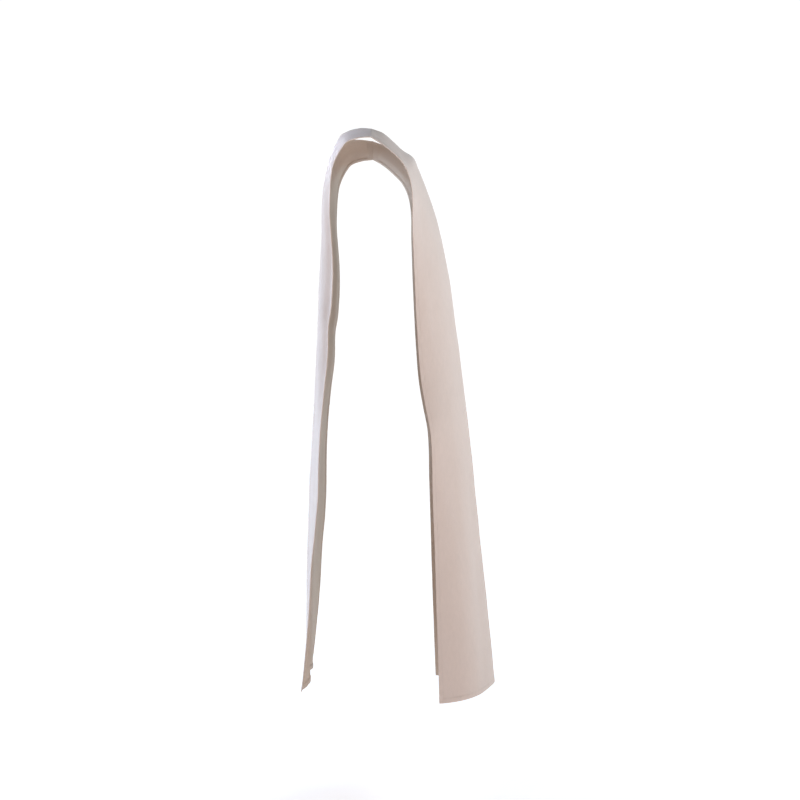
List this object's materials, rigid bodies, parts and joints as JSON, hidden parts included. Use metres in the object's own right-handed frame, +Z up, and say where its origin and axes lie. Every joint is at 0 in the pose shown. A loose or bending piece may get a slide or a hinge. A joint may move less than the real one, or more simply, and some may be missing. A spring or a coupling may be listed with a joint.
{
  "type": "scapular",
  "caption": "Sleeveless over-garment of a religious habit: long front and back cloth panels joined at the shoulders, open sides, round neck.",
  "frame": {"origin": "middle of the shoulder line where the wearer's shoulders hold the garment: on the centre line, in the plane of the two shoulder seams, level with their ends at the neck", "axes": "+Z up; the garment faces -Y, so the front panel hangs on the -Y side; +X is the wearer's left"},
  "size_m": [0.5235, 0.438, 1.2864],
  "materials": {
    "cloth": "matt cream twill, closely woven, with a faint sheen"
  },
  "bodies": {
    "root": {"front_panel": "cloth", "back_panel": "cloth"}
  },
  "joints": []
}
